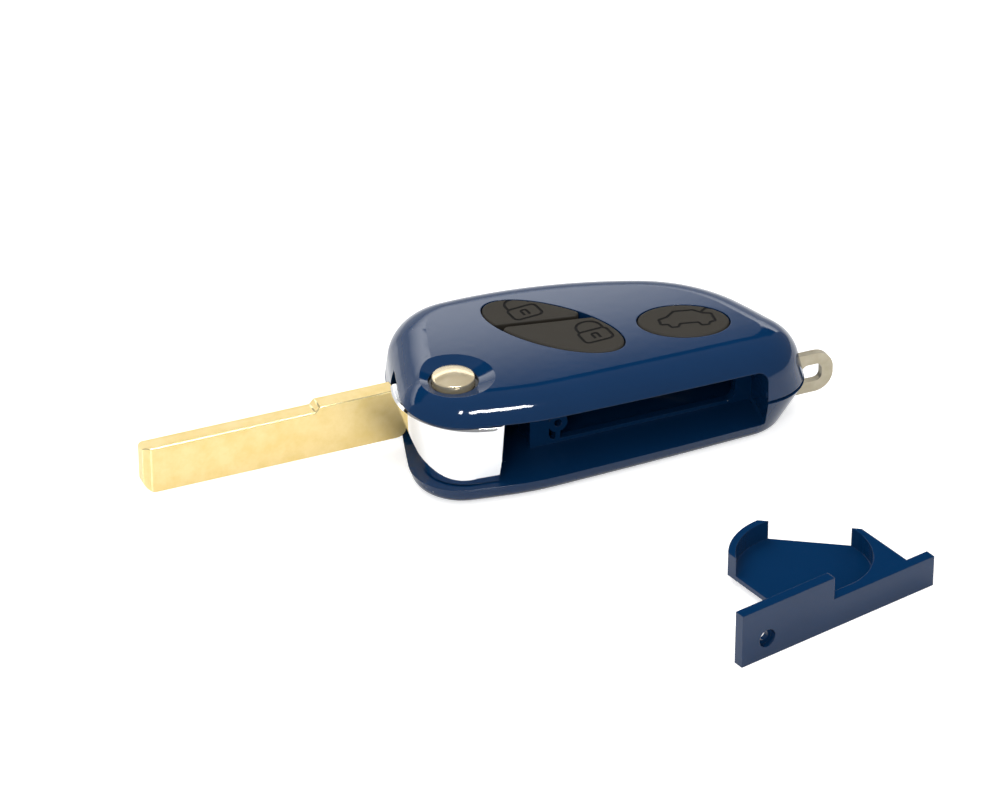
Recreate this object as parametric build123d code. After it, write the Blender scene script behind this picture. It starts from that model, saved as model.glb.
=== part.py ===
from build123d import *
import os

# Flip key remote case, blade open, battery tray taken out and laid in front of it.
# Millimetres. The origin is on the table under the pivot axis.
# +X runs to the key ring, +Y to the back edge and +Z up.

os.makedirs("parts", exist_ok=True)

# Fits
sliding_gap = 0.15
running_gap = 0.08
swing_gap = 0.3
seat_gap = 0.05

# Heights above the table
seam_z = 7.6
crown_z = 16.3
blade_mid_z = 7.2
pocket_floor_z = 2.75
pocket_ceiling_z = 12.95

# Case outline at the seam: corners counterclockwise from the front left,
# each with its radius and the bulge of the side that follows it
seam_corners = [(-11.3, -9.0), (9.0, -13.1), (58.1, -13.1), (49.2, 14.4), (-1.8, 24.5)]
seam_bulges = [0.1, 0.3, 0.7, 4.4, 0.6]
seam_radii = [9.0, 45.0, 8.5, 24.0, 12.0]

# Case outline at the crown, before its edge is rounded
crown_corners = [(-10.5, -7.3), (9.5, -11.8), (57.4, -12.4), (46.8, 13.6), (-0.9, 23.3)]
crown_bulges = [0.1, 0.2, 0.4, 4.4, 0.6]
crown_radii = [12.0, 45.0, 8.5, 24.0, 12.0]
crown_round = 6.0

# Case outline at the underside, before its edge is rounded
base_corners = [(-9.2, -9.8), (8.0, -12.3), (54.8, -9.6), (47.0, 11.8), (0.8, 21.6)]
base_bulges = [0.1, 0.2, 0.6, 3.8, 0.6]
base_radii = [7.6, 40.0, 7.6, 20.0, 9.0]
base_round = 2.2

# Shell walls and the seam between the shells
wall = 1.7
seam_groove_height = 0.5
seam_groove_depth = 0.45
tongue_height = 1.1
tongue_width = 0.6
tongue_inset = 0.9

# Blade pocket, open along the front
pocket_wall_y = -3.6
pocket_wall_thickness = 1.4
pocket_end_gap = 0.25
pocket_end_wall = 1.6
pocket_end_top_round = 1.7
pocket_end_foot_round = 0.5
swing_housing_wall = 1.2

# Doorway behind the pocket, where the tray slides in
doorway_left_x = 14.2
doorway_right_x = 45.5
doorway_sill_height = 0.6
doorway_corner_radius = 1.2
doorway_header_z = 12.3

# Blade carrier
hub_radius = 11.3
hub_clearance = 0.2
hub_edge_top_x = 3.9
hub_edge_foot_x = 3.1
hub_foot_inset = 1.3
hub_head_inset = -0.8
hub_rim = 0.35
cover_thickness = 1.2
core_radius = 7.5
clamp_right_x = 8.4
clamp_wall = 1.0

# Blade
blade_offset_y = 8.2
blade_thickness = 2.9
blade_tip_x = -47.2
blade_shoulder_x = -20.6
blade_height = 7.8
shoulder_height = 8.6
shoulder_end_x = -6.6
tip_round = 1.6
tip_chamfer = 0.7
tang_height = 6.0
tang_end_x = 5.2
blade_pin_radius = 0.8
blade_pin_x = 0.5

# Release button and what it works
button_radius = 3.27
button_top_z = 17.1
button_crown = 0.8
button_edge_round = 0.3
button_height = 3.2
button_travel = 1.4
stem_radius = 2.0
stem_foot_z = 6.0
dish_radius = 6.3
dish_depth = 1.3
collar_wall = 0.5
collar_top_z = 15.1
cam_radius = 4.3
cam_waist_radius = 3.4
cam_lobe_width = 1.8
cam_lobes = 6
cam_height = 2.4
cam_bottom_z = 11.0
cam_gap = 0.3
spring_wire_radius = 0.35
spring_radius = 2.9
spring_turns = 5.5
spring_floor_z = 4.4
pivot_radius = 2.2

# Keypad
key_stand = 0.15
key_gap = 0.2
key_travel = 0.6
key_flange = 0.8
key_flange_thickness = 0.7
key_edge_round = 0.4
key_corner_round = 0.8
door_oval_centre = (19.6, 7.5)
door_oval_radii = (12.1, 5.6)
door_oval_angle = -52.5
door_split_angle = -10.6
door_split_offset = 1.7
door_split_gap = 0.9
boot_oval_centre = (38.6, 1.0)
boot_oval_radii = (7.05, 4.7)
boot_oval_angle = -23.0
web_margin = 2.0
web_thickness = 0.9
unlock_contact_place = (16.6, 11.6)
lock_contact_place = (22.4, 3.4)
contact_radius = 1.4
contact_height = 0.5

# Key ring loop
loop_y = -6.7
loop_thickness = 1.2
loop_end_x = 60.3
loop_height = 6.8
loop_mid_z = 7.3
loop_strip = 1.9
loop_eye_start_x = 55.0
loop_corner_radius = 3.0
loop_eye_radius = 1.0
loop_anchor_length = 1.2
loop_anchor_height = 7.8

# Battery tray, measured from the lower left corner of its plate's outer face
plate_length = 35.9
plate_height = 8.85
plate_low_height = 5.1
plate_step_x = 16.9
plate_thickness = 1.7
tray_screw_x = 4.6
tray_screw_height = 3.3
tray_screw_radius = 0.8
tray_head_radius = 1.45
tray_head_depth = 0.9
cell_centre = (20.9, 11.7)
cell_radius = 10.1
cradle_wall = 1.1
cradle_left_x = 12.1
cradle_right_x = 32.0
cradle_bottom = 1.2
cradle_floor = 0.8
cradle_cut_angle = 45.0
cradle_cut_distance = 8.0
tray_home_x = 11.1
screw_boss_wall = 1.0
screw_boss_depth = 5.0
pilot_radius = 0.6
boss_rib_width = 0.8
tray_place = (17.6, -65.4)
tray_turn = 13.3

# Heights and radii that follow from the sizes above
hub_bottom_z = pocket_floor_z + hub_clearance
hub_top_z = pocket_ceiling_z - hub_clearance
inner_top_z = crown_z - wall
swing_radius = hub_radius + swing_gap
housing_radius = swing_radius + swing_housing_wall
inner_wall_y = pocket_wall_y + pocket_wall_thickness
cam_pocket_radius = cam_radius + cam_gap
cam_top_z = cam_bottom_z + cam_height
cam_pocket_top_z = cam_top_z + cam_gap
cam_pocket_floor_z = cam_bottom_z - button_travel - cam_gap
button_foot_z = button_top_z - button_height
collar_inner_radius = button_radius + running_gap
collar_radius = collar_inner_radius + collar_wall
key_top_z = crown_z + key_stand
key_foot_z = inner_top_z - seat_gap - key_flange_thickness
web_foot_z = inner_top_z - web_thickness
blade_front_y = blade_offset_y - blade_thickness / 2
blade_back_y = blade_offset_y + blade_thickness / 2
tip_sweep_radius = (blade_tip_x ** 2 + (blade_back_y - tip_chamfer) ** 2) ** 0.5
pocket_end_radius = tip_sweep_radius + pocket_end_gap
inner_end_radius = pocket_end_radius + pocket_end_wall
loop_back_y = loop_y + loop_thickness / 2
loop_anchor_x = (inner_end_radius ** 2 - loop_back_y ** 2) ** 0.5 + seat_gap
tray_home_z = pocket_floor_z + sliding_gap
tray_screw_home_x = tray_home_x + tray_screw_x
tray_screw_home_z = tray_home_z + tray_screw_height


def outline(corners, bulges, radii, z, inset=0.0):
    """Bulged sides with rounded corners, as a face at height z."""
    sides = []
    for k in range(len(corners)):
        start = Vector(*corners[k])
        end = Vector(*corners[(k + 1) % len(corners)])
        along = (end - start).normalized()
        outward = Vector(along.Y, -along.X)
        middle = (start + end) * 0.5 + outward * bulges[k]
        sides.append(ThreePointArc(start, middle, end))
    face = make_face(sides)
    for corner, radius in zip(corners, radii):
        nearest = face.vertices().sort_by_distance(Vector(*corner))[0]
        face = fillet(nearest, radius)
    if inset:
        edges = offset(face, -inset).edges()
        face = make_face([ThreePointArc(e @ 0, e @ 0.5, e @ 1) for e in edges])
    return Pos(0, 0, z) * face


def seam_outline(z, inset=0.0):
    """The case's outline at the seam."""
    return outline(seam_corners, seam_bulges, seam_radii, z, inset)


def crown_outline(z, inset=0.0):
    """The case's outline at the crown."""
    return outline(crown_corners, crown_bulges, crown_radii, z, inset)


def base_outline(z, inset=0.0):
    """The case's outline at the underside."""
    return outline(base_corners, base_bulges, base_radii, z, inset)


def upper_form(inset, top_z):
    """The case above the seam, drawn in by an inset."""
    low = seam_outline(seam_z, inset)
    high = crown_outline(top_z, inset)
    block = loft([low.face(), high.face()], ruled=True)
    rim = block.faces().sort_by(Axis.Z)[-1].edges()
    return fillet(rim, crown_round - inset)


def lower_form(inset, bottom_z):
    """The case below the seam, drawn in by an inset."""
    low = base_outline(bottom_z, inset)
    high = seam_outline(seam_z, inset)
    block = loft([low.face(), high.face()], ruled=True)
    rim = block.faces().sort_by(Axis.Z)[0].edges()
    return fillet(rim, base_round - inset)


def slab(x0, x1, y0, y1, z0, z1):
    """A block between two corners."""
    block = Box(x1 - x0, y1 - y0, z1 - z0, align=(Align.MIN, Align.MIN, Align.MIN))
    return Pos(x0, y0, z0) * block


def rod(radius, z0, z1, x=0.0, y=0.0):
    """An upright cylinder between two heights."""
    shaft = Cylinder(radius, z1 - z0, align=(Align.CENTER, Align.CENTER, Align.MIN))
    return Pos(x, y, z0) * shaft


def cross_rod(radius, x, z, y0, y1):
    """A cylinder that runs along Y."""
    return Pos(x, y0, z) * Rot(-90, 0, 0) * rod(radius, 0, y1 - y0)


def prism(sketch, z0, z1):
    """A plan shape between two heights."""
    return extrude(Pos(0, 0, z0) * sketch, z1 - z0)


def side_prism(points, y0, y1):
    """A shape given by X and Z points, run along Y."""
    face = make_face(Polyline(*[(x, y0, z) for x, z in points], close=True))
    return extrude(face, y1 - y0, dir=(0, 1, 0))


def oval(centre, radii, angle, grow=0.0):
    """An ellipse in plan, grown by a margin."""
    shape = Ellipse(radii[0] + grow, radii[1] + grow)
    return Pos(*centre) * Rot(0, 0, angle) * shape


def door_oval(grow=0.0):
    """The oval that the two door keys share."""
    return oval(door_oval_centre, door_oval_radii, door_oval_angle, grow)


def boot_oval(grow=0.0):
    """The boot key's oval."""
    return oval(boot_oval_centre, boot_oval_radii, boot_oval_angle, grow)


def door_half(side, grow=0.0):
    """The door oval's part above the split for side 1, below it for side -1."""
    whole = oval((0, 0), door_oval_radii, door_oval_angle - door_split_angle, grow)
    reach = 2 * door_oval_radii[0]
    edge = door_split_offset + side * door_split_gap / 2
    half = whole & (Pos(0, edge + side * reach / 2) * Rectangle(2 * reach, reach))
    corners = [v for v in half.vertices() if abs(v.Y - edge) < 0.01]
    half = fillet(corners, key_corner_round)
    return Pos(*door_oval_centre) * Rot(0, 0, door_split_angle) * half


# Swing space of the carrier and the blade, between the pocket's floor and ceiling
tip_sweep = rod(pocket_end_radius, pocket_floor_z, pocket_ceiling_z)
tip_sweep = fillet(tip_sweep.edges().sort_by(Axis.Z)[-1], pocket_end_top_round)
tip_sweep = fillet(tip_sweep.edges().sort_by(Axis.Z)[0], pocket_end_foot_round)
swing_space = rod(swing_radius, pocket_floor_z, pocket_ceiling_z)
swing_space += tip_sweep & slab(0, 60, -40, pocket_wall_y, 0, 20)
swing_space += slab(-40, 0, -40, blade_back_y + swing_gap, pocket_floor_z, pocket_ceiling_z)

# What stays solid between the pocket, the carrier and the inner room
pocket_block = rod(inner_end_radius, -1, 30) & slab(-60, 60, -60, inner_wall_y, -2, 31)
pocket_block += rod(housing_radius, -1, 30)

# Tongue on the lower shell and its rebate in the upper one
tongue_ring = seam_outline(seam_z, tongue_inset) - seam_outline(seam_z, tongue_inset + tongue_width)
rebate_ring = seam_outline(seam_z, tongue_inset - seat_gap) - seam_outline(seam_z, wall + seat_gap)
tongue = extrude(tongue_ring, tongue_height) - swing_space
rebate = extrude(rebate_ring, tongue_height + seat_gap)

# Slot for the key ring loop's strip through the end wall, and the room for its anchor
loop_slot_half = loop_thickness / 2 + seat_gap
loop_slot_z = loop_height / 2 + seat_gap
loop_slot = slab(loop_anchor_x, 70, loop_y - loop_slot_half, loop_y + loop_slot_half,
                 loop_mid_z - loop_slot_z, loop_mid_z + loop_slot_z)
anchor_room_z = loop_anchor_height / 2 + seat_gap
loop_slot += slab(loop_anchor_x - seat_gap, loop_anchor_x + loop_anchor_length + seat_gap,
                  loop_y - loop_slot_half, loop_y + loop_slot_half,
                  loop_mid_z - anchor_room_z, loop_mid_z + anchor_room_z)

# Upper shell: outer form, inner room and pocket
upper_shell = upper_form(0, crown_z)
upper_shell -= upper_form(wall, inner_top_z) - pocket_block
upper_shell -= swing_space
upper_shell -= rebate
groove_ring = seam_outline(seam_z, -1) - seam_outline(seam_z, seam_groove_depth)
upper_shell -= extrude(groove_ring, seam_groove_height)
upper_shell -= loop_slot

# Upper shell: the part of the doorway above the seam, stepped like the tray's plate
step_home_x = tray_home_x + plate_step_x + sliding_gap
low_header_z = tray_home_z + plate_low_height + sliding_gap
door_front_y = pocket_wall_y - 1
door_back_y = inner_wall_y + 1
upper_shell -= slab(doorway_left_x, step_home_x, door_front_y, door_back_y, 0, doorway_header_z)
upper_shell -= slab(doorway_left_x, doorway_right_x, door_front_y, door_back_y, 0, low_header_z)

# Upper shell: dish, collar bore and cam pocket over the pivot
dish_sphere_radius = (dish_radius ** 2 + dish_depth ** 2) / (2 * dish_depth)
dish_centre_z = crown_z - dish_depth + dish_sphere_radius
upper_shell -= Pos(0, 0, dish_centre_z) * Sphere(dish_sphere_radius)
upper_shell -= rod(collar_radius, cam_pocket_top_z - 1, 30)
upper_shell -= rod(cam_pocket_radius, pocket_ceiling_z - 1, cam_pocket_top_z)

# Upper shell: key openings and the seats under them
key_openings = door_oval(key_gap) + boot_oval(key_gap)
upper_shell -= prism(key_openings, web_foot_z, 30)
flange_room = door_oval(key_flange + key_gap) + boot_oval(key_flange + key_gap)
key_room_z = key_foot_z - key_travel - seat_gap
upper_shell -= prism(flange_room, key_room_z, inner_top_z)
web_link = Pos(31, 3.5) * Rot(0, 0, -15) * Rectangle(14, 7)
web_plan = door_oval(web_margin) + boot_oval(web_margin) + web_link
upper_shell -= prism(web_plan, web_foot_z, inner_top_z)
export_step(upper_shell, "parts/upper_shell.step")

# Keypad web round the keys
keypad_web = prism(web_plan - flange_room, web_foot_z, inner_top_z)
export_step(keypad_web, "parts/keypad_web.step")


def make_key(name, plan, flange_plan):
    """A rubber key that narrows above its flange."""
    key = prism(plan, key_foot_z, key_top_z)
    key = fillet(key.faces().sort_by(Axis.Z)[-1].edges(), key_edge_round)
    key += prism(flange_plan, key_foot_z, key_foot_z + key_flange_thickness)
    export_step(key, "parts/" + name + ".step")


def make_contact(name, place):
    """A conductive pill under a key."""
    pill = rod(contact_radius, key_foot_z - contact_height, key_foot_z, *place)
    export_step(pill, "parts/" + name + ".step")


make_key("unlock_button", door_half(1), door_half(1, key_flange))
make_key("lock_button", door_half(-1), door_half(-1, key_flange))
make_key("boot_button", boot_oval(), boot_oval(key_flange))
make_contact("unlock_contact", unlock_contact_place)
make_contact("lock_contact", lock_contact_place)
make_contact("boot_contact", boot_oval_centre)

# Lower shell: outer form, inner room and pocket
lower_shell = lower_form(0, 0)
lower_shell -= lower_form(wall, pocket_floor_z) - pocket_block
lower_shell -= swing_space
lower_shell += tongue
lower_shell -= loop_slot

# Lower shell: doorway with rounded lower corners above a sill
doorway_width = doorway_right_x - doorway_left_x
doorway_middle_x = (doorway_left_x + doorway_right_x) / 2
sill_z = pocket_floor_z + doorway_sill_height
doorway_face = Plane.XZ * RectangleRounded(doorway_width, 20, doorway_corner_radius)
doorway = extrude(doorway_face, 1.5 * pocket_wall_thickness, both=True)
lower_shell -= Pos(doorway_middle_x, (pocket_wall_y + inner_wall_y) / 2, sill_z + 10) * doorway

# Lower shell: pivot stud, and the screw boss with its rib
lower_shell += rod(pivot_radius, pocket_floor_z - 1, spring_floor_z - hub_clearance)
boss_radius = pilot_radius + screw_boss_wall
boss_end_y = pocket_wall_y + screw_boss_depth
lower_shell += cross_rod(boss_radius, tray_screw_home_x, tray_screw_home_z, pocket_wall_y, boss_end_y)
lower_shell += slab(tray_screw_home_x - boss_rib_width / 2, tray_screw_home_x + boss_rib_width / 2,
                    pocket_wall_y, boss_end_y, pocket_floor_z - 1, tray_screw_home_z)
lower_shell -= cross_rod(pilot_radius, tray_screw_home_x, tray_screw_home_z,
                         pocket_wall_y - 1, boss_end_y - screw_boss_wall)
export_step(lower_shell, "parts/lower_shell.step")

# Blade carrier: its sides follow the case, drawn in at the foot, with a narrow rim on top
def hub_sides(inset):
    """The carrier's outer sides, drawn in by an inset."""
    foot = base_outline(hub_bottom_z, hub_foot_inset + inset)
    shoulder = crown_outline(hub_top_z - hub_rim, hub_head_inset + inset)
    rim = crown_outline(hub_top_z, hub_head_inset + hub_rim + inset)
    return loft([foot.face(), shoulder.face(), rim.face()], ruled=True)


flat_foot_x = hub_edge_foot_x
flat_head_x = hub_edge_top_x
hub_zone = side_prism([(-40, hub_bottom_z), (flat_foot_x, hub_bottom_z), (flat_head_x, hub_top_z),
                       (-40, hub_top_z)], -40, blade_front_y - seat_gap)
hub_body = rod(hub_radius, 0.1, 20) & hub_zone
hub_body &= hub_sides(0)

# Core: fills the cover, carries the clamp for the blade's tang and goes round the pivot
core_slope = (flat_head_x - flat_foot_x) / (hub_top_z - hub_bottom_z)
fill_zone = side_prism([(-39, 1), (flat_foot_x - core_slope * (hub_bottom_z - 1), 1),
                        (flat_head_x + core_slope * (14 - hub_top_z), 14), (-39, 14)], -39, blade_back_y)
core_form = rod(hub_radius - cover_thickness, 0.3, 21) & fill_zone
core_form += rod(core_radius, 0.5, 14.5)
core_form += rod(hub_radius, 0, 15) & slab(-20, clamp_right_x, 0, blade_back_y + clamp_wall, 0.2, 14.8)
core_form &= hub_sides(cover_thickness)

# Cover: the chromed skin from the blade round to the flat
hub_cover = hub_body - core_form
hub_cover = max(hub_cover.solids(), key=lambda s: s.volume)
hub_core = core_form & slab(-20, 20, -20, 20, hub_bottom_z, hub_top_z)

# Room in the carrier for the blade, its pin, the spring and the cam
shoulder_half = shoulder_height / 2 + seat_gap
tang_half = tang_height / 2 + seat_gap
hub_core -= slab(-40, shoulder_end_x + seat_gap, blade_front_y - seat_gap, blade_back_y + seat_gap,
                 0, blade_mid_z + shoulder_half)
hub_core -= slab(-40, tang_end_x + seat_gap, blade_front_y - seat_gap, blade_back_y + seat_gap,
                 blade_mid_z - tang_half, blade_mid_z + tang_half)
hub_core -= rod(blade_pin_radius, 0, 30, blade_pin_x, blade_offset_y)
hub_core -= rod(pivot_radius + running_gap, 0, spring_floor_z + 1)
hub_core -= rod(spring_radius + spring_wire_radius + cam_gap, spring_floor_z, 30)
hub_core -= rod(cam_pocket_radius, cam_pocket_floor_z, 30)
export_step(hub_core, "parts/hub_core.step")
export_step(hub_cover, "parts/hub_cover.step")

# Blade: blank with a rounded tip, a shoulder and a tang
full_half = shoulder_height / 2
edge_top = blade_height - full_half
tang = tang_height / 2
blade_side = [
    (blade_tip_x, -full_half), (shoulder_end_x, -full_half), (shoulder_end_x, -tang), (tang_end_x, -tang),
    (tang_end_x, tang), (shoulder_end_x, tang), (shoulder_end_x, full_half),
    (blade_shoulder_x + 0.8, full_half), (blade_shoulder_x, edge_top), (blade_tip_x, edge_top),
]
key_blade = side_prism(blade_side, blade_front_y, blade_back_y)
tip_edges = key_blade.edges().filter_by(Axis.Y).sort_by(Axis.X)[:2]
key_blade = fillet(tip_edges, tip_round)
key_blade = chamfer(key_blade.edges().filter_by(Axis.Z).sort_by(Axis.X)[:2], tip_chamfer)
key_blade = Pos(0, 0, blade_mid_z) * key_blade
key_blade -= rod(blade_pin_radius, 0, 30, blade_pin_x, blade_offset_y)
export_step(key_blade, "parts/key_blade.step")
blade_pin = rod(blade_pin_radius, hub_bottom_z, hub_top_z, blade_pin_x, blade_offset_y)
export_step(blade_pin, "parts/blade_pin.step")

# Release button: domed cap on a stem
dome_radius = (button_radius ** 2 + button_crown ** 2) / (2 * button_crown)
button_cap = rod(button_radius, button_foot_z, button_top_z + 1)
button_cap &= Pos(0, 0, button_top_z - dome_radius) * Sphere(dome_radius)
rims = [edge for edge in button_cap.edges().sort_by(Axis.Z) if edge.is_closed]
button_cap = fillet(rims[-1], button_edge_round)
release_button = button_cap + rod(stem_radius, stem_foot_z, button_foot_z)
export_step(release_button, "parts/release_button.step")

# Collar ring round the button
button_collar = rod(collar_radius, cam_pocket_top_z, collar_top_z)
button_collar -= rod(collar_inner_radius, 0, 30)
export_step(button_collar, "parts/button_collar.step")

# Lobed cam on the stem
cam_plan = Circle(cam_waist_radius)
lobe = Pos(cam_radius / 2, 0) * Rectangle(cam_radius, cam_lobe_width)
for k in range(cam_lobes):
    cam_plan += Rot(0, 0, k * 360 / cam_lobes) * lobe
cam_plan = (cam_plan & Circle(cam_radius)) - Circle(stem_radius)
lock_cam = prism(cam_plan, cam_bottom_z, cam_top_z)
export_step(lock_cam, "parts/lock_cam.step")

# Coil spring between the carrier's floor and the cam
coil_height = cam_bottom_z - spring_floor_z - 2 * spring_wire_radius
coil = Helix(coil_height / spring_turns, coil_height, spring_radius)
wire_section = Plane(coil @ 0, z_dir=coil % 0) * Circle(spring_wire_radius)
flip_spring = Pos(0, 0, spring_floor_z + spring_wire_radius) * sweep(wire_section, path=coil)
export_step(flip_spring, "parts/flip_spring.step")

# Key ring loop: a stamped strip with an eye outside and an anchor inside
strip_length = loop_end_x - loop_anchor_x
strip_face = Plane.XZ * RectangleRounded(2 * strip_length, loop_height, loop_corner_radius)
strip = extrude(strip_face, loop_thickness / 2, both=True)
strip = strip & slab(0, 100, -10, 10, -10, 10)
eye_length = loop_end_x - loop_strip - loop_eye_start_x
eye_face = Plane.XZ * RectangleRounded(eye_length, loop_height - 2 * loop_strip, loop_eye_radius)
eye = extrude(eye_face, loop_thickness, both=True)
strip -= Pos(loop_eye_start_x + eye_length / 2 - loop_anchor_x, 0, 0) * eye
anchor_half = loop_anchor_height / 2
strip += slab(0, loop_anchor_length, -loop_thickness / 2, loop_thickness / 2, -anchor_half, anchor_half)
key_ring_loop = Pos(loop_anchor_x, loop_y, loop_mid_z) * strip
export_step(key_ring_loop, "parts/key_ring_loop.step")

# Battery tray: stepped plate
plate_side = [
    (0, 0), (plate_length, 0), (plate_length, plate_low_height), (plate_step_x, plate_low_height),
    (plate_step_x, plate_height), (0, plate_height),
]
tray = side_prism(plate_side, 0, plate_thickness)

# Battery tray: cradle with the cell's pocket, cut flat on its left and across its back corner
cradle_top = plate_low_height
cradle_plan = Pos(*cell_centre) * Circle(cell_radius + cradle_wall)
cradle_plan += Pos((cradle_left_x + cradle_right_x) / 2, cell_centre[1] / 2) * Rectangle(
    cradle_right_x - cradle_left_x, cell_centre[1])
cradle_plan &= Pos((cradle_left_x + cradle_right_x) / 2, 20) * Rectangle(
    cradle_right_x - cradle_left_x, 40)
cut_far = 30
back_cut = Pos(cradle_cut_distance + cut_far / 2, 0) * Rectangle(cut_far, 60)
cradle_plan -= Pos(*cell_centre) * Rot(0, 0, cradle_cut_angle) * back_cut
tray += prism(cradle_plan, cradle_bottom, cradle_top)
pocket_floor = cradle_bottom + cradle_floor
pocket_plan = Pos(*cell_centre) * Circle(cell_radius)
pocket_plan += Pos((cradle_left_x + cell_centre[0]) / 2 - 0.5, (plate_thickness + cell_centre[1]) / 2) * (
    Rectangle(cell_centre[0] - cradle_left_x + 1, cell_centre[1] - plate_thickness))
pocket_plan &= Pos(25, plate_thickness + 25) * Rectangle(50, 50)
tray -= prism(pocket_plan, pocket_floor, plate_height + 1)

# Battery tray: stepped screw hole
tray -= cross_rod(tray_screw_radius, tray_screw_x, tray_screw_height, -1, plate_thickness + 1)
tray -= cross_rod(tray_head_radius, tray_screw_x, tray_screw_height, -1, tray_head_depth)
battery_tray = Pos(*tray_place) * Rot(0, 0, tray_turn) * tray
export_step(battery_tray, "parts/battery_tray.step")
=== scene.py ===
# %% [markdown]
# # A folding key remote, dressed in Blender
# The solids of this key come from a CAD model that is loaded as a fixed frame. This lesson
# gives them their finishes, engraves the signs in the rubber keys, cuts a blade with crisp
# edges, winds the spring and lights the whole on a white paper sweep. Everything is in metres
# and in the CAD model's own axes.

# %% Load the frame and measure it
import math
import bmesh
import bpy
from mathutils import Matrix, Vector


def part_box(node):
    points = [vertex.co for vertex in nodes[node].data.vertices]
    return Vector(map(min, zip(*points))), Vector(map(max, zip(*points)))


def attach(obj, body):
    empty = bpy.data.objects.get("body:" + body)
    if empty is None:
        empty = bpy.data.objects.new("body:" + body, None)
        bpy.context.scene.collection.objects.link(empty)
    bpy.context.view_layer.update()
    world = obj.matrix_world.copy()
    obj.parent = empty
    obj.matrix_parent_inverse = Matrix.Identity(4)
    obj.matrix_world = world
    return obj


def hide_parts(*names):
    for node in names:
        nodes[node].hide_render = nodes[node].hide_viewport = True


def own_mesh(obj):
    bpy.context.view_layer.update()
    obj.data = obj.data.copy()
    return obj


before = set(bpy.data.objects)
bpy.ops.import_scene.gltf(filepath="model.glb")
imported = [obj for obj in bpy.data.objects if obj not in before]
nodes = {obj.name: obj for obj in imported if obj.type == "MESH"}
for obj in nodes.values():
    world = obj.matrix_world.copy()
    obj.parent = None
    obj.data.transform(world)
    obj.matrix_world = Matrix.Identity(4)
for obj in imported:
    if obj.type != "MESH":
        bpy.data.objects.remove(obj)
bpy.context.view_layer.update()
mm = 0.001

# %% [markdown]
# ## Camera
# A close product picture is taken with a long lens, so the key hardly narrows towards the
# back. The camera stands 0.8 m away, to the left of the front and about a third of the way
# up, and looks at a point between the keypad and the pivot.

# %% Set up the camera
look_at = Vector((9.45, 4.25, 7.3)) * mm
towards_camera = Vector((-0.3314, -0.7806, 0.5299))
camera_distance = 0.8
camera_data = bpy.data.cameras.new("product_camera")
camera_data.sensor_width = 36.0
camera_data.lens = 188.6
camera_data.clip_start = 0.05
camera_data.clip_end = 20.0
camera = bpy.data.objects.new("product_camera", camera_data)
bpy.context.collection.objects.link(camera)
camera.location = look_at + towards_camera * camera_distance
camera.rotation_mode = "QUATERNION"
camera.rotation_quaternion = (-towards_camera).to_track_quat("-Z", "Y")
bpy.context.scene.camera = camera
print("camera at", [round(c, 3) for c in camera.location])

# %% [markdown]
# ## Helpers for colours and nodes
# Paint and plastic colours are easiest to read off as sRGB hex values, but shader sockets
# want linear light. One function does that step. A second adds a node to a tree, sets its
# settings and joins its inputs, and two more stand for nodes that nearly every material
# has: a noise in the object's own space and a blend of two colours.

# %% Write the helpers for materials
def linear(hex_colour):
    """An sRGB hex colour as linear red, green, blue and alpha."""
    channels = [int(hex_colour[k:k + 2], 16) / 255 for k in (1, 3, 5)]
    return [c / 12.92 if c <= 0.04045 else ((c + 0.055) / 1.055) ** 2.4 for c in channels] + [1.0]


def add_node(tree, kind, inputs=None, **settings):
    """Add a node. A tuple input (node, output) is a link and any other input is a value."""
    made = tree.nodes.new(kind)
    for name, value in settings.items():
        setattr(made, name, value)
    for name, value in (inputs or {}).items():
        if isinstance(value, tuple) and isinstance(value[0], bpy.types.Node):
            tree.links.new(value[0].outputs[value[1]], made.inputs[name])
        else:
            made.inputs[name].default_value = value
    return made


def new_material(name):
    """An empty material with its tree, an output node and object coordinates."""
    material = bpy.data.materials.new(name)
    material.use_nodes = True
    tree = material.node_tree
    tree.nodes.clear()
    output = add_node(tree, "ShaderNodeOutputMaterial")
    place = add_node(tree, "ShaderNodeTexCoord")
    return material, tree, output, place


def noise(tree, place, size_mm, detail, **more_inputs):
    """A noise texture whose spots are about this size."""
    inputs = {"Vector": (place, "Object"), "Scale": 1 / (size_mm * mm), "Detail": detail}
    return add_node(tree, "ShaderNodeTexNoise", inputs | more_inputs)


def blend(tree, share, dark, light):
    """A colour between two hex colours, or between a linked colour and a hex colour."""
    ends = [linear(c) if isinstance(c, str) else c for c in (dark, light)]
    return add_node(tree, "ShaderNodeMix", {0: share, 6: ends[0], 7: ends[1]}, data_type="RGBA")


print("navy reads as", [round(c, 4) for c in linear("#10335F")])

# %% [markdown]
# Four short functions do what the new pieces need: put an object in the scene, read the mesh
# that a modifier makes, cut one mesh with another, and give a geometry tree its inputs.

# %% Write the helpers for pieces
def put(name, data):
    """A new object in the scene, at the origin."""
    made = bpy.data.objects.new(name, data)
    bpy.context.collection.objects.link(made)
    return made


def finished_mesh(made):
    """The mesh that an object has after its modifiers."""
    return bpy.data.meshes.new_from_object(made.evaluated_get(bpy.context.evaluated_depsgraph_get()))


def cut_away(piece, cutter, material_mode):
    """Take the cutter's volume out of a piece, and the cutter out of the scene."""
    modifier = piece.modifiers.new("cut", "BOOLEAN")
    modifier.operation = "DIFFERENCE"
    modifier.solver = "EXACT"
    modifier.material_mode = material_mode
    modifier.object = cutter
    mesh = finished_mesh(piece)
    piece.modifiers.clear()
    piece.data = mesh
    bpy.data.objects.remove(cutter)
    if not mesh.polygons:
        raise RuntimeError(f"the cut left nothing of {piece.name}")


def add_inputs(tree, lengths):
    """Number inputs of a geometry tree with their defaults. Gives each socket's identifier."""
    identifiers = {}
    for name, default in lengths.items():
        socket = tree.interface.new_socket(name, in_out="INPUT", socket_type="NodeSocketFloat")
        socket.default_value = default
        identifiers[name] = socket.identifier
    return identifiers


print("helpers ready")

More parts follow.
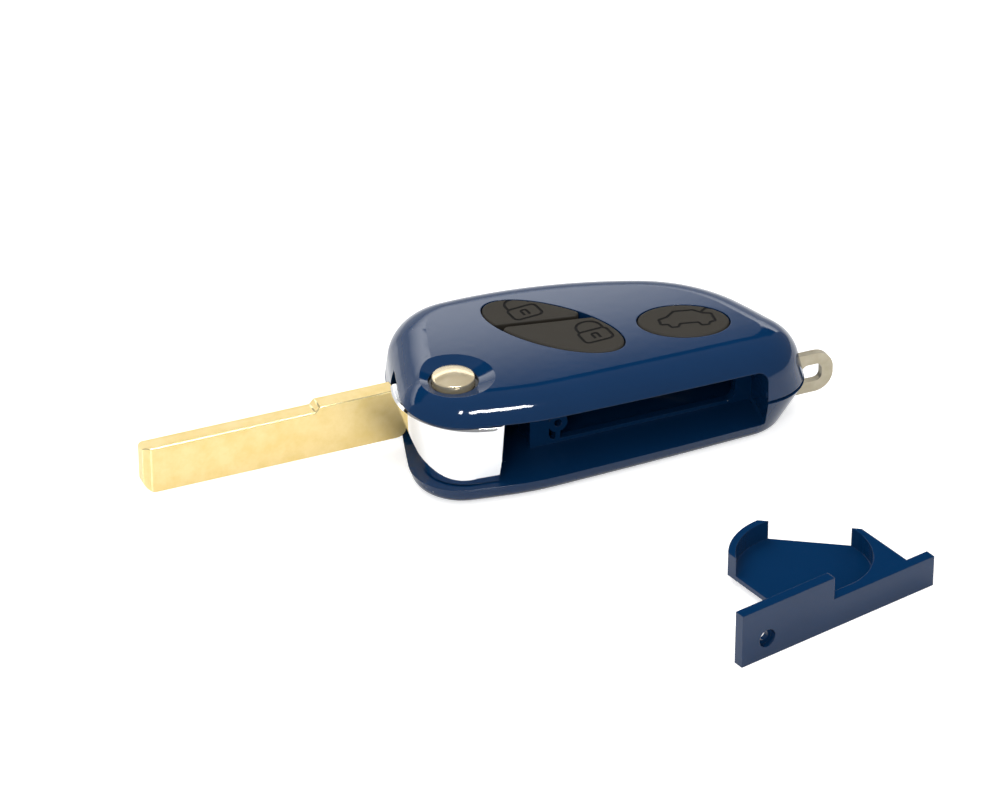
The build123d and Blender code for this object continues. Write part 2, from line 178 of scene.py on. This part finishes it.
# %% [markdown]
# ## Paper sweep
# A white paper runs from the table up the wall, so there is no horizon. Its lower part is lit from behind,
# and to mirrored rays it also glows with painted light, which gives the key's flat top its grey sheen. That
# painted glow dies out at about the height that the flat top mirrors, and above it the paper is painted dark
# to mirrored rays. The camera sees plain white all over. That is why the paper asks which kind of ray it
# meets.

# %% Make the paper
paper_white = 0.8
camera_lift = 0.5
# Painted light: to mirrored rays the paper glows, from table_glow on the table up to mirror_glow, and fades
# out between glow_end and glow_gone.
table_glow, mirror_glow = 0.3, 3.0
glow_foot, glow_full = 0.9, 1.5
glow_end, glow_gone = 1.565, 1.635
# Painted shade: the paper's colour to mirrored rays above the glow.
paper_shade_in_mirror = 0.02

paper, tree, output, place = new_material("white paper sweep")
path = add_node(tree, "ShaderNodeLightPath")
spot = add_node(tree, "ShaderNodeSeparateXYZ", {0: (place, "Object")})
rise = add_node(tree, "ShaderNodeMapRange", {
    "Value": (spot, "Z"), "From Min": glow_foot, "From Max": glow_full,
    "To Min": table_glow, "To Max": mirror_glow})
fade = add_node(tree, "ShaderNodeMapRange", {
    "Value": (spot, "Z"), "From Min": glow_end, "From Max": glow_gone, "To Min": 1.0, "To Max": 0.0})
# Painted light: the glow is seen by mirrored rays only.
glow = add_node(tree, "ShaderNodeMath", {0: (rise, 0), 1: (fade, 0)}, operation="MULTIPLY")
glow = add_node(tree, "ShaderNodeMath", {0: (glow, 0), 1: (path, "Is Glossy Ray")}, operation="MULTIPLY")
seen = add_node(tree, "ShaderNodeMath", {
    0: (path, "Is Camera Ray"), 1: (path, "Is Transmission Ray")}, operation="MAXIMUM")
lift = add_node(tree, "ShaderNodeMath", {
    0: (seen, 0), 1: camera_lift, 2: (glow, 0)}, operation="MULTIPLY_ADD")
# Painted shade: above the glow the paper turns dark to mirrored rays.
dark = add_node(tree, "ShaderNodeMath", {0: 1.0, 1: (fade, 0)}, operation="SUBTRACT")
dark = add_node(tree, "ShaderNodeMath", {0: (dark, 0), 1: (path, "Is Glossy Ray")}, operation="MULTIPLY")
shade = add_node(tree, "ShaderNodeMapRange", {
    "Value": (dark, 0), "To Min": paper_white, "To Max": paper_shade_in_mirror})
fibres = noise(tree, place, 4, 3.0)
tooth = add_node(tree, "ShaderNodeBump", {"Height": (fibres, "Fac"), "Strength": 0.05, "Distance": 0.05 * mm})
matt = add_node(tree, "ShaderNodeBsdfDiffuse", {"Color": (shade, 0), "Roughness": 0.5, "Normal": (tooth, 0)})
light = add_node(tree, "ShaderNodeEmission", {"Color": [1.0, 1.0, 1.0, 1.0], "Strength": (lift, 0)})
both = add_node(tree, "ShaderNodeAddShader", {0: (matt, 0), 1: (light, 0)})
tree.links.new(both.outputs[0], output.inputs["Surface"])
print("made", paper.name)

# %% Bend the sheet
bend_start, bend_radius, bend_steps = 1.6, 0.8, 16
front_end, top_end, half_width = -3.0, 3.0, 3.0
profile = [(front_end, 0.0)]
for k in range(bend_steps + 1):
    angle = math.radians(90 * k / bend_steps)
    profile.append((bend_start + bend_radius * math.sin(angle), bend_radius * (1 - math.cos(angle))))
profile.append((bend_start + bend_radius, top_end))
sweep_mesh = bpy.data.meshes.new("paper_sweep")
points = [(x, y, z) for y, z in profile for x in (-half_width, half_width)]
faces = [(2 * k, 2 * k + 1, 2 * k + 3, 2 * k + 2) for k in range(len(profile) - 1)]
sweep_mesh.from_pydata(points, [], faces)
sweep_mesh.shade_smooth()
sweep_mesh.materials.append(paper)
paper_sweep = put("paper_sweep", sweep_mesh)
print("sweep points:", len(profile))

# %% [markdown]
# ## Lights
# Three large panels and a sky that brightens overhead give soft, even light at a level where
# a colour comes out as it is written. They stay out of the mirrors, because the studio above
# the key is dark to a polished surface. Two small lamps do the opposite: they add no light
# and only draw the thin bright glints along the rounded edge.

# %% Hang the lamps
def soft_panel(name, place, size, power, aim=(0.01, 0.0, 0.008), mirrored=False):
    """An area light that faces the key and is either mirrored or lights it."""
    lamp = bpy.data.lights.new(name, "AREA")
    lamp.shape = "RECTANGLE"
    lamp.size, lamp.size_y = size
    lamp.energy = power
    made = put(name, lamp)
    made.location = place
    made.rotation_mode = "QUATERNION"
    made.rotation_quaternion = (Vector(place) - Vector(aim)).to_track_quat("Z", "Y")
    made.visible_glossy = mirrored
    made.visible_diffuse = not mirrored


soft_panel("back_panel", (-0.15, 0.45, 0.75), (0.7, 0.5), 4.0)
soft_panel("front_panel", (-0.45, -0.6, 0.45), (0.25, 0.35), 2.0)
soft_panel("right_panel", (0.7, -0.15, 0.5), (0.4, 0.5), 1.0)
soft_panel("long_glint", (0.03, -0.34, 0.72), (0.22, 0.09), 4.0, mirrored=True)
soft_panel("short_glint", (-0.19, -0.24, 0.72), (0.05, 0.10), 1.0, mirrored=True)

# %% Set the sky
horizon_light, top_light = 0.35, 1.05
mirror_sky = 0.30
world = bpy.data.worlds.new("studio sky")
bpy.context.scene.world = world
world.use_nodes = True
tree = world.node_tree
tree.nodes.clear()
path = add_node(tree, "ShaderNodeLightPath")
place = add_node(tree, "ShaderNodeTexCoord")
spot = add_node(tree, "ShaderNodeSeparateXYZ", {0: (place, "Generated")})
light = add_node(tree, "ShaderNodeMapRange", {
    "Value": (spot, "Z"), "To Min": horizon_light, "To Max": top_light})
seen = add_node(tree, "ShaderNodeMix", {0: (path, "Is Camera Ray"), 2: (light, 0), 3: 1.0})
mirrored = add_node(tree, "ShaderNodeMix", {0: (path, "Is Glossy Ray"), 2: (seen, 0), 3: mirror_sky})
sky = add_node(tree, "ShaderNodeBackground", {"Color": [1.0, 1.0, 1.0, 1.0], "Strength": (mirrored, 0)})
add_node(tree, "ShaderNodeOutputWorld", {"Surface": (sky, 0)})
bpy.context.scene.view_settings.view_transform = "Standard"
print("sky set")

# %% [markdown]
# ## Case plastic
# The two shells and the tray are injection-moulded ABS under a deep navy gloss lacquer. The
# mould is polished, so there is no grain. Three small things keep it from looking drawn: the
# lacquer ripples very slightly, it rounds every sharp edge a little, and a few specks of
# dust lie on it. A speck is a dot in every fifth cell of a Voronoi pattern, and its radius
# is a share of the cell's size.

# %% Make the lacquered navy plastic
speck_cell_mm, speck_radius, speck_share, speck_strength = 3.2, 0.035, 0.2, 0.35


def lacquered_plastic(name, dark, light, ripple_mm, edge_mm):
    """A dyed plastic under a clear lacquer with a faint ripple and a few specks of dust."""
    material, tree, output, place = new_material(name)
    tint = blend(tree, (noise(tree, place, 9, 2.0), "Fac"), dark, light)
    cells = add_node(tree, "ShaderNodeTexVoronoi", {
        "Vector": (place, "Object"), "Scale": 1 / (speck_cell_mm * mm)})
    lot = add_node(tree, "ShaderNodeSeparateColor", {0: (cells, "Color")})
    few = add_node(tree, "ShaderNodeMath", {0: (lot, "Red"), 1: 1 - speck_share}, operation="GREATER_THAN")
    near = add_node(tree, "ShaderNodeMath", {0: (cells, "Distance"), 1: speck_radius}, operation="LESS_THAN")
    speck = add_node(tree, "ShaderNodeMath", {0: (few, 0), 1: (near, 0)}, operation="MULTIPLY")
    speck = add_node(tree, "ShaderNodeMath", {0: (speck, 0), 1: speck_strength}, operation="MULTIPLY")
    dusty = blend(tree, (speck, 0), (tint, 2), "#B9C2CC")
    rounded = add_node(tree, "ShaderNodeBevel", {"Radius": edge_mm * mm}, samples=4)
    ripple = noise(tree, place, ripple_mm, 1.0)
    bump = add_node(tree, "ShaderNodeBump", {
        "Height": (ripple, "Fac"), "Strength": 0.05, "Distance": 0.02 * mm, "Normal": (rounded, 0)})
    shader = add_node(tree, "ShaderNodeBsdfPrincipled", {
        "Base Color": (dusty, 2), "Roughness": 0.06, "IOR": 1.42, "Normal": (bump, 0)})
    tree.links.new(shader.outputs[0], output.inputs["Surface"])
    return material


navy_lacquer = lacquered_plastic("lacquered ABS, polished mould, navy", "#062A4E", "#072D53", 1.6, 0.15)
print("made", navy_lacquer.name)

# %% [markdown]
# ## Rubber and small mouldings
# The blade carrier, the lock cam and the button's collar are black acetal, and the keys are silicone rubber
# in a warm black. Both come out of spark-eroded moulds with a fine dull grain of a few tenths of a
# millimetre. The grooves of the signs are painted near black as shade in the recess.

# %% Make the black mouldings
def grained_plastic(name, dark, light, grain_mm, roughness, depth_mm):
    """A moulded plastic or rubber with an eroded grain."""
    material, tree, output, place = new_material(name)
    grain = noise(tree, place, grain_mm, 3.0)
    bump = add_node(tree, "ShaderNodeBump", {
        "Height": (grain, "Fac"), "Strength": 0.5, "Distance": depth_mm * mm})
    patch = noise(tree, place, 3, 2.0)
    tint = blend(tree, (patch, "Fac"), dark, light)
    rough = add_node(tree, "ShaderNodeMapRange", {
        "Value": (patch, "Fac"), "To Min": roughness - 0.06, "To Max": roughness + 0.06})
    shader = add_node(tree, "ShaderNodeBsdfPrincipled", {
        "Base Color": (tint, 2), "Roughness": (rough, 0), "IOR": 1.43, "Normal": (bump, 0)})
    tree.links.new(shader.outputs[0], output.inputs["Surface"])
    return material


black_acetal = grained_plastic("acetal, eroded mould, black", "#121316", "#191A1E", 0.25, 0.5, 0.02)
collar_acetal = grained_plastic("acetal, polished mould, black", "#060607", "#0B0B0D", 0.4, 0.22, 0.004)
key_rubber = grained_plastic(
    "silicone rubber, eroded mould, warm black", "#28241C", "#2F2A21", 0.18, 0.66, 0.012)
# Painted shade: the groove colour is near black to stand for the shade inside the recess.
groove_shade_rubber = grained_plastic(
    "silicone rubber, groove, painted shade", "#080706", "#0D0C0A", 0.3, 0.85, 0.005)
carbon_rubber = grained_plastic("carbon filled silicone, pressed", "#0D0D0D", "#141414", 0.15, 0.7, 0.01)
print("made", black_acetal.name, "and", key_rubber.name)

# %% [markdown]
# ## Metals
# The blade is a milled brass blank. The cutter leaves fine lines across the flats and the brass has gone
# slightly cloudy in the hand, so the colour and the gloss both vary. Its edges are burnished smoother by use
# and painted lighter as a highlight. The release button and the key ring loop are nickel plated in a pale
# champagne tone.

# %% Make the metals
line_stretch = 40.0


def worked_metal(name, dark, light, line_mm, line_axis, roughness, depth_mm, cloud_mm, bare=1.0):
    """A metal with tool lines along one axis and cloudy patches. Bare is 1 where no haze dulls it."""
    material, tree, output, place = new_material(name)
    squeeze = [1 / line_stretch if axis == line_axis else 1.0 for axis in "XYZ"]
    lines_at = add_node(tree, "ShaderNodeMapping", {"Vector": (place, "Object"), "Scale": squeeze})
    lines = noise(tree, place, line_mm, 3.0, Vector=(lines_at, 0))
    cloud = noise(tree, place, cloud_mm, 4.0, Roughness=0.6)
    patchy = add_node(tree, "ShaderNodeMapRange", {
        "Value": (cloud, "Fac"), "From Min": 0.35, "From Max": 0.65})
    tint = blend(tree, (patchy, 0), dark, light)
    rough = add_node(tree, "ShaderNodeMapRange", {
        "Value": (patchy, 0), "To Min": roughness - 0.02, "To Max": roughness + 0.03})
    bump = add_node(tree, "ShaderNodeBump", {
        "Height": (lines, "Fac"), "Strength": 0.35, "Distance": depth_mm * mm})
    shader = add_node(tree, "ShaderNodeBsdfPrincipled", {
        "Base Color": (tint, 2), "Metallic": bare, "Roughness": (rough, 0), "Normal": (bump, 0)})
    tree.links.new(shader.outputs[0], output.inputs["Surface"])
    return material


blade_brass = worked_metal("brass, milled blank", "#EFD48C", "#F8E0A2", 0.25, "X", 0.36, 0.006, 3.0, bare=0.6)
# Painted highlight: the edge brass is lighter than the blank to stand for the bright glint along the edges;
# its lower roughness is the burnishing.
burnished_highlight_brass = worked_metal(
    "cartridge brass, burnished edge, painted highlight", "#FFE9A6", "#FFF3C2", 0.25, "X", 0.2, 0.002, 1.0, bare=0.8)
champagne_nickel = worked_metal(
    "nickel plated zinc, champagne, polished", "#EAD8B2", "#F4E6C6", 0.3, "X", 0.24, 0.002, 4.0, bare=0.68)
loop_metal = worked_metal(
    "nickel plated steel strip, champagne, stamped", "#A69E89", "#B2AA96", 0.2, "X", 0.38, 0.006, 2.0)
spring_wire = worked_metal("spring steel, drawn", "#9FA2A6", "#B4B7BA", 0.1, "Z", 0.32, 0.005, 1.5)
print("made", blade_brass.name)

# %% [markdown]
# ## Chrome cover
# The skin of the blade carrier is ABS with bright chrome plating. It is nearly a mirror: the
# eye sees the white paper in it, and only a faint haze shows that it has been wiped.

# %% Make the chrome
chrome, tree, output, place = new_material("ABS, chrome plated, bright")
swirl = noise(tree, place, 5, 3.0, Distortion=1.0)
haze = add_node(tree, "ShaderNodeMapRange", {"Value": (swirl, "Fac"), "To Min": 0.02, "To Max": 0.07})
tint = blend(tree, (swirl, "Fac"), "#F0F2F6", "#F8F9FB")
rounded = add_node(tree, "ShaderNodeBevel", {"Radius": 0.12 * mm}, samples=4)
mirror = add_node(tree, "ShaderNodeBsdfPrincipled", {
    "Base Color": (tint, 2), "Metallic": 1.0, "Roughness": (haze, 0), "Normal": (rounded, 0)})
tree.links.new(mirror.outputs[0], output.inputs["Surface"])
print("made", chrome.name)

# %% [markdown]
# ## Grooves for the signs
# Each rubber key carries a sign pressed into its top: an open padlock, a closed padlock and a
# car with its boot up. A sign is a few lines, and every line becomes a round cutter that
# follows it. That is a rule, so a small geometry tree makes the cutter. It rounds the line's
# corners, sweeps a circle along it and closes the ends.

# %% Build the tree that makes a cutter
cutter_tree = bpy.data.node_groups.new("groove cutter along a line", "GeometryNodeTree")
cutter_tree.interface.new_socket("Line", in_out="INPUT", socket_type="NodeSocketGeometry")
cutter_inputs = add_inputs(cutter_tree, {"Corner radius": 0.5 * mm, "Groove radius": 0.24 * mm})
socket = cutter_tree.interface.new_socket("Groove painted shade", in_out="INPUT", socket_type="NodeSocketMaterial")
cutter_inputs["Groove painted shade"] = socket.identifier
cutter_tree.interface.new_socket("Cutter", in_out="OUTPUT", socket_type="NodeSocketGeometry")

given = add_node(cutter_tree, "NodeGroupInput")
soft = add_node(cutter_tree, "GeometryNodeFilletCurve", {
    "Curve": (given, "Line"), "Count": 8, "Radius": (given, "Corner radius")}, mode="POLY")
ring = add_node(cutter_tree, "GeometryNodeCurvePrimitiveCircle", {
    "Resolution": 12, "Radius": (given, "Groove radius")})
swept = add_node(cutter_tree, "GeometryNodeCurveToMesh", {
    "Curve": (soft, 0), "Profile Curve": (ring, 0), "Fill Caps": True})
real = add_node(cutter_tree, "GeometryNodeRealizeInstances", {0: (swept, 0)})
dressed = add_node(cutter_tree, "GeometryNodeSetMaterial", {
    "Geometry": (real, 0), "Material": (given, "Groove painted shade")})
add_node(cutter_tree, "NodeGroupOutput", {"Cutter": (dressed, 0)})
print("tree inputs:", list(cutter_inputs))

# %% [markdown]
# Next come the signs themselves, in millimetres and in each sign's own axes. A line is its
# points, the radius of its corners and whether it closes.

# %% Draw the three signs
body_top, shackle_head, lifted_end = 0.5, 3.1, 1.3


def arch(half_width, foot, head, other_foot):
    """Four points that go up, across and down again, centred on the sign's own axis."""
    return [(-half_width, foot), (-half_width, head), (half_width, head), (half_width, other_foot)]


padlock_body = (arch(2.4, -2.8, body_top, -2.8), 0.8, True)
keyhole = (arch(0.45, -2.0, -0.5, -2.0), 0.3, False)
closed_shackle = (arch(2.0, body_top, shackle_head, body_top), 1.9, False)
open_shackle = (arch(2.0, body_top, shackle_head, lifted_end), 1.7, False)
roof = [(-2.8, 1.0), (-1.5, 2.5), (1.5, 2.5), (2.9, 1.4), (4.1, 1.1)]
front_wheel = [(3.6, -1.3), (3.2, -2.1), (2.1, -2.1), (1.7, -1.2)]
back_wheel = [(-1.1, -1.2), (-1.5, -2.1), (-2.6, -2.1), (-3.0, -1.2)]
car_body = ([(-4.1, -1.1), (-4.2, 0.4)] + roof + [(4.4, -1.2)] + front_wheel + back_wheel, 0.3, True)
raised_boot = ([(2.7, 1.8), (3.6, 2.8), (4.8, 2.5)], 0.3, False)
signs = {
    "unlock_button": ("unlock_key", (17.1, 13.9), 5.0, [padlock_body, open_shackle, keyhole]),
    "lock_button": ("lock_key", (24.4, 3.4), 3.0, [padlock_body, closed_shackle, keyhole]),
    "boot_button": ("boot_key", (39.1, 1.2), -14.0, [car_body, raised_boot]),
}
print({name: len(sign[3]) for name, sign in signs.items()}, "lines")

# %% [markdown]
# A line becomes a curve at the height of the key's top, turned and moved with its sign. The
# geometry tree works on it as a modifier, and the mesh that comes out is the cutter.

# %% Turn a line into a cutter
groove_radius_mm = 0.24
groove_rise_mm = 0.04


def groove_cutter(line, place, turn, height):
    """A cutter for one line of a sign in a key's top at this height."""
    line_points, corner_mm, closed = line
    curve = bpy.data.curves.new("sign_line", "CURVE")
    curve.dimensions = "3D"
    spline = curve.splines.new("POLY")
    spline.points.add(len(line_points) - 1)
    spline.use_cyclic_u = closed
    turned = Matrix.Rotation(math.radians(turn), 2)
    for point, corner in zip(spline.points, line_points):
        at = (turned @ Vector(corner) + Vector(place)) * mm
        point.co = (at.x, at.y, height + groove_rise_mm * mm, 1.0)
    drawn = put("sign_line", curve)
    modifier = drawn.modifiers.new("cutter", "NODES")
    modifier.node_group = cutter_tree
    modifier[cutter_inputs["Corner radius"]] = corner_mm * mm
    modifier[cutter_inputs["Groove radius"]] = groove_radius_mm * mm
    modifier[cutter_inputs["Groove painted shade"]] = groove_shade_rubber
    cutter = put("cutter", finished_mesh(drawn))
    bpy.data.objects.remove(drawn)
    return cutter


print("groove", round(2 * groove_radius_mm, 2), "mm wide")

# %% [markdown]
# A cut needs a closed mesh, so the key's triangles are first welded and the flat ones joined to whole faces.
# Each line is then cut in turn, and the cut faces bring the groove's near-black painted shade along. Last,
# the normals are weighted by area, which keeps the top flat to the light. The new key then stands in for the
# CAD one and rides on the same body, so it moves with it.

# %% Press the signs into the keys
weld_gap_mm, flat_angle, sharp_angle = 0.001, 0.1, 40


def engraved_key(name, place, turn, lines):
    """A copy of a key with its sign's lines cut into the top."""
    joined = bmesh.new()
    joined.from_mesh(nodes[name].data)
    bmesh.ops.remove_doubles(joined, verts=joined.verts, dist=weld_gap_mm * mm)
    bmesh.ops.dissolve_limit(
        joined, angle_limit=math.radians(flat_angle), verts=joined.verts, edges=joined.edges)
    joined.verts.index_update()
    mesh = bpy.data.meshes.new(name + "_engraved")
    mesh.from_pydata([v.co[:] for v in joined.verts], [], [[v.index for v in f.verts] for f in joined.faces])
    mesh.materials.append(key_rubber)
    joined.free()
    key = put(name + "_engraved", mesh)
    key_low, key_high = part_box(name)
    for line in lines:
        cut_away(key, groove_cutter(line, place, turn, key_high.z), "TRANSFER")
    key.data.shade_smooth()
    key.data.set_sharp_from_angle(angle=math.radians(sharp_angle))
    key.modifiers.new("flat top", "WEIGHTED_NORMAL").keep_sharp = True
    return key


for name, (body, place, turn, lines) in signs.items():
    key = engraved_key(name, place, turn, lines)
    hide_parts(name)
    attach(key, body)
    print(key.name, len(key.data.polygons), "faces")

# %% [markdown]
# ## Blade blank
# The blank has a sharp, plain look: a rounded end, one step on its back and burnished edges painted bright as
# a highlight. Its side outline is drawn in millimetres, and its rounded stretches are quarter arcs.

# %% Draw the blade's side
blade_low, blade_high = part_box("key_blade")
tip_x, tang_end_x = blade_low.x / mm, blade_high.x / mm
edge_z, back_z = blade_low.z / mm, blade_high.z / mm
step_x, step_run, step_drop = -19.7, 0.7, 0.8
shoulder_end_x, tang_half, ease_run = -6.6, 3.0, 1.6
back_round, edge_round = 0.7, 1.9
blade_top_z = back_z - step_drop
tang_mid_z = (edge_z + back_z) / 2
tang_low_z, tang_high_z = tang_mid_z - tang_half, tang_mid_z + tang_half


def quarter_arc(centre, run, rise, first_degrees, steps):
    """Points of a quarter of an ellipse, counterclockwise from the first angle."""
    angles = [math.radians(first_degrees + 90 * k / steps) for k in range(steps + 1)]
    return [(centre[0] + run * math.cos(a), centre[1] + rise * math.sin(a)) for a in angles]


side_outline = quarter_arc((tip_x + back_round, blade_top_z - back_round), back_round, back_round, 90, 9)
side_outline += quarter_arc((tip_x + edge_round, edge_z + edge_round), edge_round, edge_round, 180, 9)
side_outline += quarter_arc((shoulder_end_x, tang_low_z), ease_run, tang_low_z - edge_z, 270, 6)
side_outline += [(tang_end_x, tang_low_z), (tang_end_x, tang_high_z), (shoulder_end_x, tang_high_z)]
side_outline += [(shoulder_end_x, back_z), (step_x + step_run, back_z), (step_x, blade_top_z)]
print("outline points:", len(side_outline))

# %% [markdown]
# The outline is pulled to the thickness of the CAD blade. An upright plane then takes the
# front corner off the end.

# %% Pull the outline and chamfer the end
end_run, end_depth, plane_gap_mm = 1.1, 0.9, 0.0001
blank = bmesh.new()
front = blank.faces.new([blank.verts.new((x * mm, blade_low.y, z * mm)) for x, z in side_outline])
pulled = bmesh.ops.extrude_face_region(blank, geom=[front])["geom"]
back_corners = [v for v in pulled if isinstance(v, bmesh.types.BMVert)]
bmesh.ops.translate(blank, verts=back_corners, vec=(0, blade_high.y - blade_low.y, 0))
end_plane = bmesh.ops.bisect_plane(
    blank, geom=blank.verts[:] + blank.edges[:] + blank.faces[:], dist=plane_gap_mm * mm, clear_outer=True,
    plane_co=(blade_low.x + end_run * mm, blade_low.y, 0), plane_no=(-end_depth, -end_run, 0))
rim = [e for e in end_plane["geom_cut"] if isinstance(e, bmesh.types.BMEdge)]
bmesh.ops.edgeloop_fill(blank, edges=rim)
bmesh.ops.recalc_face_normals(blank, faces=blank.faces)
blank_mesh = bpy.data.meshes.new("brass_blank")
blank.to_mesh(blank_mesh)
blank.free()
blank_mesh.materials.append(blade_brass)
blank_mesh.materials.append(burnished_highlight_brass)
print("edges round the end plane:", len(rim))

# %% [markdown]
# The tang is bored for the pin. Last, every edge loses a hair, and that narrow strip takes the burnished
# brass, which is smoother and painted lighter as a highlight.

# %% Bore the tang and break the edges
pin_low, pin_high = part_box("blade_pin")
pin_radius = (pin_high.x - pin_low.x) / 2
bore_length, edge_width, edge_angle = 40 * mm, 0.13 * mm, math.radians(35)
bore_mesh = bpy.data.meshes.new("bore")
bore = bmesh.new()
bmesh.ops.create_cone(bore, cap_ends=True, segments=32, radius1=pin_radius, radius2=pin_radius,
                      depth=bore_length, matrix=Matrix.Translation((pin_low + pin_high) / 2))
bore.to_mesh(bore_mesh)
bore.free()
brass_blank = put("brass_blank", blank_mesh)
cut_away(brass_blank, put("borer", bore_mesh), "INDEX")
# The bevelled strip gets the lighter brass, a painted highlight along the edges.
worn = brass_blank.modifiers.new("burnished edges, painted highlight", "BEVEL")
worn.width = edge_width
worn.segments = 2
worn.material = 1
worn.limit_method = "ANGLE"
worn.angle_limit = edge_angle
brass_blank.data.shade_smooth()
brass_blank.data.set_sharp_from_angle(angle=edge_angle)
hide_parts("key_blade")
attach(brass_blank, "carrier")
print("blank faces:", len(brass_blank.data.polygons))

# %% [markdown]
# ## Flip spring
# A coil follows a rule, so it is made by a geometry tree too: a spiral, a round wire swept along it, and its
# own finish. It stands between the carrier's floor and the cam.

# %% Build the tree that winds a spring
coil_tree = bpy.data.node_groups.new("coil spring", "GeometryNodeTree")
coil_inputs = add_inputs(coil_tree, {
    "Turns": 5.5, "Coil radius": 2.9 * mm, "Wire radius": 0.35 * mm, "Rise": 5.9 * mm, "Foot": 4.75 * mm})
coil_tree.interface.new_socket("Spring", in_out="OUTPUT", socket_type="NodeSocketGeometry")
given = add_node(coil_tree, "NodeGroupInput")
spiral = add_node(coil_tree, "GeometryNodeCurveSpiral", {
    "Resolution": 28, "Rotations": (given, "Turns"), "Start Radius": (given, "Coil radius"),
    "End Radius": (given, "Coil radius"), "Height": (given, "Rise")})
foot = add_node(coil_tree, "ShaderNodeCombineXYZ", {"Z": (given, "Foot")})
stood = add_node(coil_tree, "GeometryNodeTransform", {"Geometry": (spiral, 0), "Translation": (foot, 0)})
wire = add_node(coil_tree, "GeometryNodeCurvePrimitiveCircle", {
    "Resolution": 10, "Radius": (given, "Wire radius")})
swept = add_node(coil_tree, "GeometryNodeCurveToMesh", {
    "Curve": (stood, 0), "Profile Curve": (wire, 0), "Fill Caps": True})
real = add_node(coil_tree, "GeometryNodeRealizeInstances", {0: (swept, 0)})
dressed = add_node(coil_tree, "GeometryNodeSetMaterial", {"Geometry": (real, 0), "Material": spring_wire})
add_node(coil_tree, "NodeGroupOutput", {"Spring": (dressed, 0)})
print("tree inputs:", list(coil_inputs))

# %% [markdown]
# The spring is wound as long as the CAD spring is, with its wire just inside both ends.

# %% Wind the spring
turns, wire_radius, end_play = 5.5, 0.35 * mm, 0.035 * mm
spring_low, spring_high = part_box("flip_spring")
spring_length = spring_high.z - spring_low.z
coil_seed = put("coil_seed", bpy.data.meshes.new("coil_seed"))
modifier = coil_seed.modifiers.new("coil", "NODES")
modifier.node_group = coil_tree
modifier[coil_inputs["Turns"]] = turns
modifier[coil_inputs["Wire radius"]] = wire_radius
modifier[coil_inputs["Coil radius"]] = (spring_high.x - spring_low.x) / 2 - wire_radius
modifier[coil_inputs["Rise"]] = spring_length - 2 * (wire_radius + end_play)
modifier[coil_inputs["Foot"]] = spring_low.z + wire_radius + end_play
wound_spring = put("wound_spring", finished_mesh(coil_seed))
bpy.data.objects.remove(coil_seed)
wound_spring.data.shade_smooth()
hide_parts("flip_spring")
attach(wound_spring, "case")
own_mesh(wound_spring)
print("spring", round(spring_length / mm, 2), "mm long,", len(wound_spring.data.polygons), "faces")

# %% [markdown]
# ## Dress the solids
# The solids that already have the right shape keep it and only get a finish.

# %% Give each solid its finish
finishes = {
    "upper_shell": navy_lacquer, "lower_shell": navy_lacquer, "battery_tray": navy_lacquer,
    "hub_cover": chrome, "hub_core": black_acetal, "lock_cam": black_acetal,
    "button_collar": collar_acetal, "key_blade": blade_brass, "blade_pin": spring_wire,
    "flip_spring": spring_wire, "release_button": champagne_nickel, "key_ring_loop": loop_metal,
    "unlock_button": key_rubber, "lock_button": key_rubber, "boot_button": key_rubber,
    "keypad_web": key_rubber, "unlock_contact": carbon_rubber, "lock_contact": carbon_rubber,
    "boot_contact": carbon_rubber,
}
for name, material in finishes.items():
    nodes[name].data.materials.clear()
    nodes[name].data.materials.append(material)
print("dressed", len(finishes), "solids")
